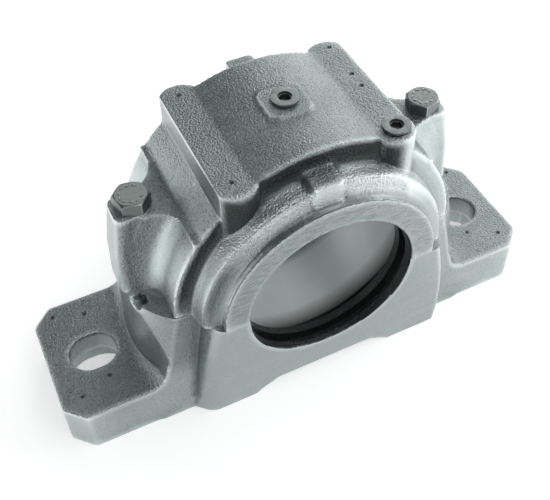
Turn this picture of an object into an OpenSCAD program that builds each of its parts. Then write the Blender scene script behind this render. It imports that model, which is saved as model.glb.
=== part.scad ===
// Split plummer block: a cast bearing housing in two halves, cap bolted on base.
// X runs along the foot, Y along the shaft, Z up. The origin is the middle of the
// footprint, on the surface that the foot stands on. Sizes are in millimetres.

/* [Foot] */
// Overall length of the base
base_length = 255; // [247:1:270]
// Width of the foot, along the shaft
foot_width = 70; // [66:1:74]
// Thickness of the foot
foot_height = 25.5; // [20:0.5:32]
// Corner cut of the foot in plan
foot_chamfer = 9.4; // [4:0.2:14]
// Wall between a mounting slot and the end of the foot
slot_end_wall = 11; // [9:0.5:14]
// Land between a mounting slot and the body
slot_body_land = 7.5; // [6:0.5:9]
// How much longer than wide a mounting slot is
slot_stretch = 3; // [1:0.5:6]

/* [Base body] */
// Height of the shaft axis, where base and cap part
shaft_height = 70; // [66:1:76]
// How far the body reaches past the bolts, at the foot
body_reach = 14; // [13:0.5:17]
// Radius of the body's rounded end in plan
body_end_radius = 66; // [60:1:80]
// Draft of the body's rounded end, in degrees
body_end_draft = 1.5; // [1:0.5:4]
// How far the body's flank leans in from the foot to the split
flank_lean = 2; // [0.5:0.1:3]
// Distance of the shoulder's axis from the bolt, towards the middle
shoulder_offset = 27; // [25.5:0.1:29]
// Radius of the shoulder at the split
shoulder_radius = 41; // [40.5:0.1:43]
// Draft of the shoulder, in degrees
shoulder_draft = 10.5; // [6:0.5:12]
// Radius of the blend from the body into the foot
foot_blend = 9; // [6:0.5:11]
// How far that blend reaches out of the body, at the middle of the foot
blend_reach = 4.8; // [3:0.2:6]
// Radius of that blend's edge on the foot, in plan
blend_plan_radius = 200; // [120:10:300]
// How far the bearing block covers the grease space, at the split
block_cover = 0.6; // [0.4:0.1:2]
// How much wider than at the split each side of the block is at the bottom
block_spread = 9.4; // [6:0.2:11]
// How far the bearing block's end leans back from split to bottom
block_lean = 6.6; // [2:0.2:9]
// How the block's sides bow out between bottom and split (1 is straight)
block_bow = 1.5; // [1:0.1:2]
// Radius of the bearing block's left upright corners, at the split
block_corner_left = 8; // [2:0.5:9]
// How much larger that radius is at the bottom
block_corner_grow = 2; // [0:0.5:4]
// Radius of the bearing block's right upright corners
block_corner_right = 2; // [1.5:0.5:9]
// Radius of the blend at the left side of the bearing block
block_blend_left = 3; // [2:0.5:4]
// Radius of the blend at the right side of the bearing block
block_blend_right = 5; // [2:0.5:7]
// Height of the relief under the base
arch_height = 8; // [3:0.5:9]
// Half width of the relief at its roof
arch_half_top = 26; // [18:1:30]
// Half width of the relief at the bottom
arch_half_bottom = 37; // [32:1:40]
// Width of a lightening pocket in the underside
pocket_width = 22; // [16:0.5:23]
// Distance of a pocket's inner end from the middle
pocket_inner = 44; // [43:0.5:50]
// Wall between a pocket's outer end and the end of the body
pocket_end_wall = 6.5; // [5:0.5:12]
// Height of a pocket's flat roof
pocket_height = 32; // [20:0.5:34]
// Thickness of the rib between two pockets
pocket_rib = 8; // [6:0.5:12]
// Thickness of the wall between a pocket and the grease space
pocket_wall = 8; // [6:0.5:10]

/* [Bearing space] */
// Overall width of the housing along the shaft
housing_width = 98.8; // [96:0.2:104]
// Radius of the shaft opening
opening_radius = 40.6; // [36:0.2:44]
// Radius of the bearing seat
seat_radius = 55; // [50:0.5:56]
// Width of the bearing seat
seat_width = 48; // [36:1:54]
// How much deeper than the seat the grease space beside it is
grease_depth = 2; // [1.5:0.5:3]
// Thickness of each end wall, from the grease space to the face
end_wall = 15; // [14.4:0.2:17]
// Depth of the seal groove
groove_depth = 5.4; // [4.4:0.2:6.4]
// Width of the seal groove
groove_width = 5.5; // [3:0.5:6]
// Distance of the seal groove's middle from the face
groove_setback = 8.4; // [7.4:0.2:9.4]
// Chamfer at the rim of the shaft opening
opening_chamfer = 0.8; // [0.2:0.1:1.5]

/* [Cap] */
// Outer radius of the barrel about the shaft axis
barrel_radius = 70.2; // [69:0.2:72]
// How far the barrel's wall lies behind the face
barrel_setback = 15.9; // [14:0.1:16.4]
// How far the crown between the rails stands out of the barrel
crown_rise = 3; // [2.2:0.2:4]
// Wall of the collar over the grease space
collar_wall = 4; // [3.5:0.5:6]
// Radius of the collar's rounded shoulder
collar_round = 4; // [2:0.5:5]
// How far the collar's shoulder lies behind the face
collar_setback = 5.2; // [4.4:0.1:5.9]
// Width of the raised face ring round the opening
face_ring = 12.4; // [9.4:0.5:14.4]
// How far the face ring stands out of the collar
face_step = 4; // [2:0.5:5]
// Radius of the blend between barrel wall and collar
collar_blend = 3; // [1:0.5:4]

/* [Rails] */
// How far the rails' flat top lies below the barrel's highest line
rail_drop = 3.1; // [2:0.1:6]
// Distance of a rail's middle from the centre plane
rail_place = 36.4; // [34:0.2:38]
// Width of a rail
rail_width = 17.2; // [14:0.2:19]
// How far a rail's rounded end stands out of the barrel's wall
rail_overhang = 5.3; // [3.6:0.1:6.4]
// How far a rail stays straight past the barrel's wall
rail_straight = 0.9; // [0.4:0.1:2]
// Radius of a rail's rounded end
rail_end_radius = 10.4; // [9.6:0.2:14]

/* [Bolt columns] */
// Distance of each cap bolt from the barrel
bolt_clearance = 1.8; // [1:0.2:4]
// Height of the seat under the bolt head
column_top = 113.4; // [108:0.2:118]
// Distance of the column's outer face from the bolt, at the top
column_outer = 10; // [8.5:0.5:12]
// How much further out the outer face is at the split
column_spread = 4; // [1:0.5:6]
// How far the outer face bulges halfway up
column_belly = 1.2; // [0:0.1:2]
// Half width of the column at the top
column_half_top = 8; // [7.5:0.1:10]
// Half width of the column at the split
column_half_bottom = 10; // [8.5:0.5:13]
// Radius of the column's upright edges
column_corner = 4; // [2:0.5:6]
// Radius of the hollow between column and barrel
hollow_radius = 17; // [14:0.5:20]
// Distance of the hollow's axis from the bolt, away from the barrel
hollow_offset = 2.5; // [0:0.5:4]

/* [Cap bolts] */
// Thread diameter of a cap bolt
bolt_d = 10; // [8:1:12]
// Length of a cap bolt under its head
bolt_length = 65; // [60:5:70]
// Width across flats of the bolt head
head_flats = 14.5; // [13:0.5:17]
// Height of the bolt head
head_height = 6.4; // [5.5:0.1:7.5]
// Turn of the left bolt head, in degrees
left_head_turn = 15; // [-30:1:30]
// Turn of the right bolt head, in degrees
right_head_turn = -17; // [-30:1:30]
// Gap all round a bolt in the cap's hole
bolt_gap = 0.5; // [0.2:0.1:0.6]
// Gap all round a bolt in the base's tapped hole
thread_gap = 0.1; // [0.05:0.05:0.3]
// Depth of the tapped hole past the bolt's tip
tap_runout = 5; // [2:0.5:8]

/* [Lubrication plugs] */
// Side of the square pad under the middle plug
pad_side = 19.6; // [17:0.2:22]
// How far the pad's flat top stands out of the crown
pad_rise = 1.2; // [0.6:0.1:3]
// Radius of the pad's corners
pad_corner = 3; // [1:0.5:5]
// Thread diameter of a plug
plug_d = 8; // [6:0.5:9]
// Length of a plug's thread
plug_length = 8; // [5:0.5:12]
// Diameter of a plug's flange
flange_d = 12.6; // [11:0.2:13.4]
// Thickness of a plug's flange
flange_height = 1.1; // [0.8:0.1:3]
// Width across flats of a plug's socket
socket_flats = 5; // [4:0.5:5.5]
// Depth of a plug's socket
socket_depth = 4; // [2:0.5:6]
// Thickness of the seal ring under a plug
ring_height = 0.5; // [0.4:0.1:2]
// How much smaller than the flange the seal ring is
ring_inset = 0.5; // [0.2:0.1:1]
// Diameter of the duct below a plug
duct_d = 5; // [3:0.5:5.5]
// Distance of the corner plug from the end of its rail
corner_plug_inset = 9.4; // [8.8:0.2:10.8]
// Distance of the corner plug from the rail's middle, outwards
corner_plug_shift = 1.6; // [0.6:0.2:2.4]
// Radius of the boss round the corner plug
corner_boss_radius = 8; // [7.2:0.2:8.4]

/* [Lugs and pins] */
// Width of the lug over each opening
lug_width = 13.8; // [8:0.2:16]
// How far the lug's end lies behind the face
lug_setback = 3.4; // [1.4:0.2:5.4]
// How far the front lug's flat top stands out of the collar
front_lug_rise = 3.5; // [2:0.1:5]
// How far the back lug's flat top stands out of the collar
back_lug_rise = 5.2; // [2:0.1:6]
// Distance of the lugs from the middle, along the foot
lug_place = -2; // [-3:0.5:3]
// Radius of a lug's corners
lug_corner = 2; // [1:0.5:4]
// Diameter of a dowel pin between base and cap
pin_d = 5; // [3:0.5:6]
// Length of a dowel pin
pin_length = 16; // [10:1:20]
// Gap all round a dowel pin
pin_gap = 0.05; // [0.02:0.01:0.1]
// Distance of a dowel pin's axis from the grease space
pin_wall = 6.5; // [6:0.1:7.5]
// Distance of a dowel pin's axis from the flank of the foot
pin_inset = 11; // [8:1:15]
// Length of the pry slot at the split, along the foot
pry_length = 7; // [5:0.5:10]
// Width of the pry slot, along the shaft
pry_width = 7; // [4:0.5:8]
// Depth of the pry slot below the split
pry_depth = 4; // [2:0.5:6]
// Distance of the pry slot's inner end from the bolt, along the foot
pry_offset = 5; // [3:0.5:6]
// Distance of the pry slot's middle from the bolt, along the shaft
pry_y = 15.5; // [15:0.5:17]

/* [Hidden] */
cast_paint = "#7c8683";
bolt_steel = "#8d9492";
seal_fibre = "#26282a";
round_fn = 180;
small_fn = 48;
hull_fn = 32;
slack = 1;
bite = 0.01;
leaf = 0.02;
half_width = housing_width / 2;
half_foot = foot_width / 2;
bolt_x = barrel_radius + bolt_clearance;
body_half_length = bolt_x + body_reach;
shoulder_centre = bolt_x - shoulder_offset;
slot_length = base_length / 2 - body_half_length - slot_end_wall - slot_body_land;
slot_width = slot_length - slot_stretch;
slot_x = (base_length - slot_length) / 2 - slot_end_wall;
grease_radius = seat_radius + grease_depth;
inner_width = housing_width - 2 * end_wall;
groove_radius = opening_radius + groove_depth;
groove_place = half_width - groove_setback;
block_half_top = grease_radius + block_cover;
block_half_bottom = block_half_top + block_spread;
pocket_outer = body_half_length - pocket_end_wall;
barrel_width = housing_width - 2 * barrel_setback;
crown_radius = barrel_radius + crown_rise;
collar_radius = grease_radius + collar_wall;
collar_reach = half_width - collar_setback;
collar_tuck = 4;
collar_root = barrel_width / 2 - collar_tuck;
face_radius = opening_radius + face_ring;
rail_top = shaft_height + barrel_radius - rail_drop;
rail_length = barrel_width + 2 * rail_overhang;
pad_top = shaft_height + crown_radius + pad_rise;
corner_plug_x = rail_place + corner_plug_shift;
corner_plug_y = corner_plug_inset - rail_length / 2;
lug_reach = half_width - lug_setback;
pin_x = grease_radius + pin_wall;
pin_y = half_foot - pin_inset;
pry_x = bolt_x + pry_offset;
block_slices = 5;
block_tuck = 0.2;
block_slant = atan((block_half_bottom - block_half_top) / shaft_height);
flank_tilt = atan(flank_lean / shaft_height);
tap_depth = bolt_length - (column_top - shaft_height) + tap_runout;
blend_sweep = 14;
blend_tuck = 3.5;
wedge_run = 16;
wedge_toe = 2;
wedge_rise = 8;
wedge_proud = 0.8;
collar_flare = 2;
head_round = 0.3;
bolt_tip = 1.2;
socket_step_d = 6.4;
socket_step = 1.2;

// Repeats its children on both sides of the middle of the foot
module left_and_right() {
    children();
    mirror([1, 0, 0]) children();
}

// Repeats its children at both ends of the shaft opening
module front_and_back() {
    children();
    mirror([0, 1, 0]) children();
}

// Lays what is built round the Z axis along the shaft axis
module about_shaft() {
    translate([0, 0, shaft_height]) rotate([90, 0, 0]) children();
}

// A rectangle with round corners, centred
module round_rect(width, depth, radius) {
    union() {
        square([width - 2 * radius, depth], center = true);
        square([width, depth - 2 * radius], center = true);
        for (x = [-1, 1], y = [-1, 1])
            translate([x * (width / 2 - radius), y * (depth / 2 - radius)])
                circle(r = radius, $fn = small_fn);
    }
}

// Section of a concave blend with its corner at the origin
module blend_section(radius) {
    difference() {
        square(radius);
        translate([radius, radius]) circle(r = radius, $fn = small_fn);
    }
}

// Everything that is hollow round the shaft, shared by base and cap
module bearing_space() {
    about_shaft() {
        cylinder(h = housing_width + 4 * slack, r = opening_radius, center = true, $fn = round_fn);
        cylinder(h = inner_width, r = seat_radius, center = true, $fn = round_fn);
        for (side = [-1, 1]) {
            middle = (inner_width + seat_width) / 4;
            translate([0, 0, side * middle])
                cylinder(h = (inner_width - seat_width) / 2, r = grease_radius, center = true, $fn = round_fn);
            translate([0, 0, side * groove_place])
                cylinder(h = groove_width, r = groove_radius, center = true, $fn = round_fn);
        }
    }
}

// Cone that breaks the edge of the cap's part of the opening
module opening_rims() {
    about_shaft()
        for (turn = [0, 180])
            rotate([turn, 0, 0])
                translate([0, 0, half_width - opening_chamfer])
                    cylinder(h = opening_chamfer + slack, r1 = opening_radius,
                             r2 = opening_radius + opening_chamfer + slack, $fn = round_fn);
}

// Foot with cut corners
module foot() {
    half = base_length / 2;
    corner = [half - foot_chamfer, half_foot - foot_chamfer];
    linear_extrude(foot_height)
        polygon([[half, -corner[1]], [half, corner[1]], [corner[0], half_foot], [-corner[0], half_foot],
                 [-half, corner[1]], [-half, -corner[1]], [-corner[0], -half_foot], [corner[0], -half_foot]]);
}

// One mounting slot, cut through the foot
module mounting_slot() {
    run = slot_length - slot_width;
    translate([slot_x, 0, -slack])
        linear_extrude(foot_height + 2 * slack)
            union() {
                square([run, slot_width], center = true);
                for (side = [-1, 1])
                    translate([side * run / 2, 0]) circle(d = slot_width, $fn = small_fn);
            }
}

// Prism between the body's two flanks, which lean in above the foot
module flank_prism(length) {
    half_top = half_foot - flank_lean;
    rotate([90, 0, 90])
        linear_extrude(length, center = true)
            polygon([[-half_foot, 0], [half_foot, 0], [half_foot, foot_height], [half_top, shaft_height],
                     [-half_top, shaft_height], [-half_foot, foot_height]]);
}

// Body above the foot: rounded ends and shoulders, both with draft
module base_body() {
    shoulder_grow = shaft_height * tan(shoulder_draft);
    end_grow = foot_height * tan(body_end_draft);
    end_shrink = (shaft_height - foot_height) * tan(body_end_draft);
    intersection() {
        flank_prism(2 * base_length);
        union()
            for (side = [-1, 1])
                translate([side * (body_half_length - body_end_radius), 0, 0])
                    cylinder(h = shaft_height, r1 = body_end_radius + end_grow,
                             r2 = body_end_radius - end_shrink, $fn = round_fn);
        union() {
            for (side = [-1, 1])
                translate([side * shoulder_centre, 0, 0])
                    cylinder(h = shaft_height, r1 = shoulder_radius + shoulder_grow,
                             r2 = shoulder_radius, $fn = round_fn);
            translate([-shoulder_centre, -half_foot, 0])
                cube([2 * shoulder_centre, foot_width, shaft_height]);
        }
    }
}

// Concave blend from the body's end into the foot
module foot_blends() {
    intersection() {
        left_and_right()
            translate([body_half_length + blend_reach - blend_plan_radius, 0, foot_height])
                rotate([0, 0, -blend_sweep])
                    rotate_extrude(angle = 2 * blend_sweep, $fn = round_fn)
                        translate([blend_plan_radius - foot_blend, -bite])
                            union() {
                                blend_section(foot_blend);
                                polygon([[bite, 0], [bite, foot_blend], [-blend_tuck, 2 * foot_blend],
                                         [-blend_tuck, 0]]);
                            }
        flank_prism(base_length);
    }
}

// Bearing block that carries the shaft opening at both ends of the base
module base_block() {
    hull()
        for (i = [0 : block_slices - 1]) {
            rise = i / (block_slices - 1);
            half_x = block_half_bottom + (block_half_top - block_half_bottom) * pow(rise, block_bow);
            half_y = half_width - block_lean * pow(1 - rise, 2);
            for (x = [-1, 1], y = [-1, 1]) {
                corner = x < 0 ? block_corner_left + block_corner_grow * (1 - rise) : block_corner_right;
                translate([x * (half_x - corner), y * (half_y - corner), rise * (shaft_height - leaf)])
                    cylinder(r = corner, h = leaf, $fn = hull_fn);
            }
        }
}

// Concave blends along the slanting sides of the bearing block
module block_blends() {
    intersection() {
        for (side = [0, 1])
            mirror([side, 0, 0])
                front_and_back()
                    translate([block_half_bottom, half_foot, 0])
                        rotate([flank_tilt, -block_slant, 0])
                            translate([-block_tuck, -bite, -block_half_top / 2])
                                linear_extrude(shaft_height + block_half_top)
                                    blend_section(side > 0 ? block_blend_left : block_blend_right);
        translate([-base_length / 2, -half_width, 0])
            cube([base_length, housing_width, shaft_height]);
    }
}

// Low wedge where the foot's lower edge runs into the bearing block
module foot_wedges() {
    left_and_right()
        front_and_back()
            translate([block_half_bottom, half_foot + wedge_proud, 0])
                rotate([90, 0, 0])
                    linear_extrude(2 * wedge_proud)
                        polygon([[-slack, 0], [wedge_run + wedge_toe, 0], [wedge_toe, wedge_rise], [-slack, wedge_rise]]);
}

// Relief under the base, so that it stands on its two feet
module underside_arch() {
    rotate([90, 0, 0])
        translate([0, 0, -half_width])
            linear_extrude(housing_width)
                polygon([[-arch_half_bottom, -slack], [-arch_half_bottom, 0], [-arch_half_top, arch_height],
                         [arch_half_top, arch_height], [arch_half_bottom, 0], [arch_half_bottom, -slack]]);
}

// Pockets in the underside, two in each foot, their roofs following the grease space
module underside_pockets() {
    difference() {
        left_and_right()
            front_and_back()
                translate([pocket_inner, pocket_rib / 2, -slack])
                    cube([pocket_outer - pocket_inner, pocket_width, pocket_height + slack]);
        about_shaft()
            cylinder(h = foot_width, r = grease_radius + pocket_wall, center = true, $fn = round_fn);
    }
}

// Slots in the base's top where the cap is pried off
module pry_slots() {
    for (side = [-1, 1])
        translate([side * (pry_x + pry_length / 2), side * pry_y, shaft_height - pry_depth / 2 + slack / 2])
            cube([pry_length, pry_width, pry_depth + slack], center = true);
}

// Both holes for the dowel pins, reaching the same way into base and cap
module pin_holes() {
    for (side = [-1, 1])
        translate([side * pin_x, -side * pin_y, shaft_height - pin_length / 2 - slack])
            cylinder(h = pin_length + 2 * slack, d = pin_d + 2 * pin_gap, $fn = small_fn);
}

module housing_base() {
    color(cast_paint)
        difference() {
            union() {
                foot();
                base_body();
                foot_blends();
                base_block();
                block_blends();
                foot_wedges();
            }
            bearing_space();
            left_and_right() mounting_slot();
            for (side = [-1, 1])
                translate([side * bolt_x, 0, shaft_height - tap_depth])
                    cylinder(h = tap_depth + slack, d = bolt_d + 2 * thread_gap, $fn = small_fn);
            pin_holes();
            underside_arch();
            underside_pockets();
            pry_slots();
        }
}

// Section of one collar: face ring, flank, round shoulder, root and the blend into the barrel
module collar_section() {
    bore = opening_radius - slack;
    shoulder = [collar_radius - collar_round, collar_reach - collar_round];
    union() {
        polygon([[bore, collar_root], [bore, half_width], [face_radius, half_width],
                 [face_radius, half_width - face_step], [shoulder[0], collar_reach],
                 shoulder, [collar_radius, shoulder[1]], [collar_radius + collar_flare, collar_root]]);
        translate(shoulder) circle(r = collar_round, $fn = small_fn);
        translate([collar_radius + collar_flare / 2, barrel_width / 2 - bite]) blend_section(collar_blend);
    }
}

module collars() {
    about_shaft()
        for (turn = [0, 180])
            rotate([turn, 0, 0])
                rotate_extrude($fn = round_fn) collar_section();
}

// Barrel, and the crown that fills the space between the rails
module barrel() {
    about_shaft() {
        cylinder(h = barrel_width, r = barrel_radius, center = true, $fn = round_fn);
        intersection() {
            cylinder(h = barrel_width, r = crown_radius, center = true, $fn = round_fn);
            translate([-rail_place, 0, -barrel_width / 2])
                cube([2 * rail_place, crown_radius, barrel_width]);
        }
    }
}

// Plan of one rail: straight sides and ends rounded by an arc
module rail_plan() {
    straight = barrel_width + 2 * rail_straight;
    intersection() {
        square([rail_width, rail_length], center = true);
        union() {
            square([rail_width, straight], center = true);
            for (side = [-1, 1])
                translate([0, side * (rail_length / 2 - rail_end_radius)])
                    circle(r = rail_end_radius, $fn = small_fn);
        }
    }
}

module rails() {
    foot_of_rail = shaft_height + opening_radius;
    left_and_right()
        translate([rail_place, 0, foot_of_rail])
            linear_extrude(rail_top - foot_of_rail) rail_plan();
    translate([corner_plug_x, corner_plug_y, foot_of_rail])
        cylinder(h = rail_top - foot_of_rail, r = corner_boss_radius, $fn = small_fn);
}

// Plan of the web between column and barrel, hollowed at both flanks
module web_plan() {
    hollow_x = bolt_x + hollow_offset;
    hollow_y = column_half_top + hollow_radius;
    root = barrel_radius / 2;
    difference() {
        translate([root, -barrel_width / 2])
            square([hollow_x - root, barrel_width]);
        for (side = [-1, 1])
            translate([hollow_x, side * hollow_y]) circle(r = hollow_radius, $fn = round_fn);
        for (side = [-1, 1])
            translate([hollow_x - hollow_radius, side > 0 ? hollow_y : -hollow_y - hollow_radius])
                square(2 * hollow_radius);
    }
}

// Both ends of one slice of the bolt column, for a hull
module column_slice(outer, half, z) {
    for (x = [bolt_x - column_outer, bolt_x + outer - column_corner], side = [-1, 1])
        translate([x, side * (half - column_corner), z - leaf])
            cylinder(r = column_corner, h = leaf, $fn = hull_fn);
}

// Column that carries one cap bolt, wider at the split
module bolt_column() {
    middle = (column_top + shaft_height) / 2;
    hull() {
        column_slice(column_outer, column_half_top, column_top);
        column_slice(column_outer + column_spread / 2 + column_belly,
                     (column_half_top + column_half_bottom) / 2, middle);
        column_slice(column_outer + column_spread, column_half_bottom, shaft_height - slack);
    }
    translate([0, 0, shaft_height])
        linear_extrude(column_top - shaft_height) web_plan();
}

// Square pad under the middle plug
module middle_pad() {
    translate([0, 0, shaft_height + grease_radius])
        linear_extrude(pad_top - shaft_height - grease_radius)
            round_rect(pad_side, pad_side, pad_corner);
}

// Lug on the collar over each end of the opening
module end_lugs() {
    root = shaft_height + face_radius;
    inner = barrel_width / 2 - 2 * lug_corner;
    for (side = [-1, 1])
        translate([lug_place, side * (inner + lug_reach) / 2, root])
            linear_extrude(collar_radius - face_radius + (side > 0 ? back_lug_rise : front_lug_rise))
                round_rect(lug_width, lug_reach - inner, lug_corner);
}

// Tapped hole and duct below a plug
module plug_hole(top) {
    translate([0, 0, top - plug_length - slack])
        cylinder(h = plug_length + 2 * slack, d = plug_d + 2 * thread_gap, $fn = small_fn);
    translate([0, 0, shaft_height + opening_radius / 2])
        cylinder(h = top - shaft_height - opening_radius / 2, d = duct_d, $fn = small_fn);
}

module housing_cap() {
    color(cast_paint)
        difference() {
            union() {
                barrel();
                collars();
                rails();
                left_and_right() bolt_column();
                middle_pad();
                end_lugs();
            }
            translate([-base_length / 2, -housing_width, -shaft_height])
                cube([base_length, 2 * housing_width, 2 * shaft_height]);
            bearing_space();
            opening_rims();
            for (side = [-1, 1])
                translate([side * bolt_x, 0, shaft_height - slack])
                    cylinder(h = column_top - shaft_height + 2 * slack, d = bolt_d + 2 * bolt_gap, $fn = small_fn);
            plug_hole(pad_top);
            translate([corner_plug_x, corner_plug_y, 0]) plug_hole(rail_top);
            pin_holes();
        }
}

// Hexagon bolt, standing on its seat, head edges turned off by a cone
module cap_bolt(turn) {
    color(bolt_steel)
        translate([0, 0, column_top]) {
            rotate([0, 0, turn])
                intersection() {
                    cylinder(h = head_height, d = head_flats / cos(30), $fn = 6);
                    cylinder(h = head_height, r1 = head_flats / 2 + head_height / tan(30),
                             r2 = head_flats / 2 - head_round, $fn = small_fn);
                }
            translate([0, 0, bolt_tip - bolt_length])
                cylinder(h = bolt_length - bolt_tip, d = bolt_d, $fn = small_fn);
            translate([0, 0, -bolt_length])
                cylinder(h = bolt_tip, d1 = bolt_d - 2 * bolt_tip, d2 = bolt_d, $fn = small_fn);
        }
}

module cap_bolt_left() {
    translate([-bolt_x, 0, 0]) cap_bolt(left_head_turn);
}

module cap_bolt_right() {
    translate([bolt_x, 0, 0]) cap_bolt(right_head_turn);
}

// Screw plug with a flange and a stepped hexagon socket, its flange on the seal ring
module plug() {
    color(cast_paint)
        difference() {
            union() {
                translate([0, 0, ring_height])
                    cylinder(h = flange_height, d = flange_d, $fn = small_fn);
                translate([0, 0, -plug_length])
                    cylinder(h = plug_length + ring_height, d = plug_d, $fn = small_fn);
            }
            translate([0, 0, ring_height + flange_height - socket_depth])
                cylinder(h = socket_depth + slack, d = socket_flats / cos(30), $fn = 6);
            translate([0, 0, ring_height + flange_height - socket_step])
                cylinder(h = socket_step + slack, d = socket_step_d, $fn = small_fn);
        }
}

// Seal ring under a plug's flange
module plug_seal() {
    color(seal_fibre)
        difference() {
            cylinder(h = ring_height, d = flange_d - 2 * ring_inset, $fn = small_fn);
            translate([0, 0, -slack])
                cylinder(h = ring_height + 2 * slack, d = plug_d + 2 * thread_gap, $fn = small_fn);
        }
}

module plug_top() {
    translate([0, 0, pad_top]) plug();
}

module plug_seal_top() {
    translate([0, 0, pad_top]) plug_seal();
}

module plug_corner() {
    translate([corner_plug_x, corner_plug_y, rail_top]) plug();
}

module plug_seal_corner() {
    translate([corner_plug_x, corner_plug_y, rail_top]) plug_seal();
}

// Dowel pin, half in the base and half in the cap
module dowel_pin(side) {
    color(bolt_steel)
        translate([side * pin_x, -side * pin_y, shaft_height - pin_length / 2])
            cylinder(h = pin_length, d = pin_d, $fn = small_fn);
}

module dowel_pin_left() {
    dowel_pin(-1);
}

module dowel_pin_right() {
    dowel_pin(1);
}

housing_base();
housing_cap();
cap_bolt_left();
cap_bolt_right();
plug_top();
plug_corner();
plug_seal_top();
plug_seal_corner();
dowel_pin_left();
dowel_pin_right();
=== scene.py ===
"""Looks of a split plummer block: two painted iron castings, their bolts, plugs and pins."""
import logging
import math
from dataclasses import dataclass, field
from enum import Enum
from typing import Iterable, NamedTuple, Sequence

import bmesh
import bpy
from mathutils import Matrix, Vector


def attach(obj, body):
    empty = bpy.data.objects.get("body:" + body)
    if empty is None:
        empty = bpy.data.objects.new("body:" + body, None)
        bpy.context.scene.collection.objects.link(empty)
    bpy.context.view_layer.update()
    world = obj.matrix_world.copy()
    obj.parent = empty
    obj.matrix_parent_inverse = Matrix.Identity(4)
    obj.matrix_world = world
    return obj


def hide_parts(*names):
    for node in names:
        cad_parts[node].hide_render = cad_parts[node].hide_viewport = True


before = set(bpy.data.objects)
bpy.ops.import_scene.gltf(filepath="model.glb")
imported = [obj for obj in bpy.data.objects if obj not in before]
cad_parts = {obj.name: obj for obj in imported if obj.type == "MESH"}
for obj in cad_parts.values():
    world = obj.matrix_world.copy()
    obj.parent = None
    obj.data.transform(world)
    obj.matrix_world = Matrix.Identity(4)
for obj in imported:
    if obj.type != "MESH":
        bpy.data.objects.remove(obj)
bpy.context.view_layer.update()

LOG = logging.getLogger("plummer_block")
MM = 0.001
BODY = "root"
HOLLOWS = "hollows"
MERGE_DISTANCE = 1e-6
LEVEL_TOLERANCE = 1e-5
PAD_TOP = (0.0, 0.0, 144.4)
CORNER_TOP = (38.0, -29.4, 137.1)
Point = tuple[float, float, float]
Pair = tuple[float, float]
Rgb = tuple[float, float, float]
Ramp = tuple[float, float, float, float]
Socket = bpy.types.NodeSocket
Colour = Sequence[float] | Socket
Shape = bpy.types.Object


class Along(Enum):
    """Direction that a round cutter or piece lies along."""

    SHAFT = (math.pi / 2, 0.0, 0.0)
    UP = (0.0, 0.0, 0.0)


# ---- small helpers for modelling by operator -------------------------------------------


def choose(*pieces: Shape) -> None:
    """Select only the given pieces, the last one active, or nothing when none is given.

    Args:
        pieces: The objects to select.
    """
    bpy.ops.object.select_all(action="DESELECT")
    for piece in pieces:
        piece.select_set(True)
        bpy.context.view_layer.objects.active = piece


def named(name: str) -> Shape:
    """Rename the active object and its mesh.

    Args:
        name: The piece's new name.

    Returns:
        The active object.
    """
    piece = bpy.context.active_object
    piece.name = name
    piece.data.name = name
    return piece


def settle(piece: Shape) -> Shape:
    """Move a piece's place into its mesh, so that its object sits at the origin.

    Args:
        piece: The piece.

    Returns:
        The same piece.
    """
    choose(piece)
    bpy.ops.object.transform_apply(location=True, rotation=True, scale=True)
    return piece


def apply_modifier(piece: Shape, kind: str, **settings: object) -> None:
    """Add a modifier, set it up and apply it.

    Args:
        piece: The object that gets it.
        kind: The modifier's type.
        settings: The modifier's values.
    """
    choose(piece)
    modifier = piece.modifiers.new(kind.lower(), kind)
    for key, value in settings.items():
        setattr(modifier, key, value)
    bpy.ops.object.modifier_apply(modifier=modifier.name)


def round_bar(name: str, radius: float, length: float, centre: Point, along: Along, sides: int = 96) -> Shape:
    """Make a closed round bar, in millimetres.

    Args:
        name: The bar's name.
        radius: Its radius.
        length: Its length.
        centre: Its middle.
        along: The direction it lies along.
        sides: How many sides it has.

    Returns:
        The bar, with its place in its mesh.
    """
    choose()
    bpy.ops.mesh.primitive_cylinder_add(
        vertices=sides, radius=radius * MM, depth=length * MM, location=[c * MM for c in centre], rotation=along.value
    )
    return settle(named(name))


def block(name: str, low: Point, high: Point) -> Shape:
    """Make a closed block between two corners, in millimetres.

    Args:
        name: The block's name.
        low: Its lowest corner.
        high: Its highest corner.

    Returns:
        The block, with its place in its mesh.
    """
    choose()
    centre = [(a + b) / 2 * MM for a, b in zip(low, high)]
    bpy.ops.mesh.primitive_cube_add(size=1.0, location=centre, scale=[(b - a) * MM for a, b in zip(low, high)])
    return settle(named(name))


def combine(piece: Shape, other: Shape, operation: str) -> None:
    """Combine a piece with another one, and throw the other one away.

    Args:
        piece: The piece that stays.
        other: The piece that is used up.
        operation: How they are combined.
    """
    apply_modifier(piece, "BOOLEAN", operation=operation, solver="MANIFOLD", object=other)
    mesh = other.data
    bpy.data.objects.remove(other)
    bpy.data.meshes.remove(mesh)


def carve(piece: Shape, cutters: Iterable[Shape]) -> None:
    """Cut pieces out of a piece."""
    for cutter in cutters:
        combine(piece, cutter, "DIFFERENCE")


def soften(piece: Shape, width: float, segments: int, angle: float) -> None:
    """Bevel a piece's sharp edges.

    Args:
        piece: The piece.
        width: The bevel's width in millimetres.
        segments: How many faces it has.
        angle: The least angle, in degrees, that gets one.
    """
    apply_modifier(
        piece, "BEVEL", width=width * MM, segments=segments, limit_method="ANGLE", angle_limit=math.radians(angle)
    )


def join(pieces: Sequence[Shape], name: str) -> Shape:
    """Join pieces into the last of them.

    Args:
        pieces: The pieces.
        name: The joined piece's name.

    Returns:
        The joined piece.
    """
    choose(*pieces)
    bpy.ops.object.join()
    return named(name)


def smooth_shaded(piece: Shape, angle: float = 32.0) -> None:
    """Shade a piece smooth, with edges sharper than the angle kept."""
    choose(piece)
    bpy.ops.object.shade_smooth_by_angle(angle=math.radians(angle))


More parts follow.
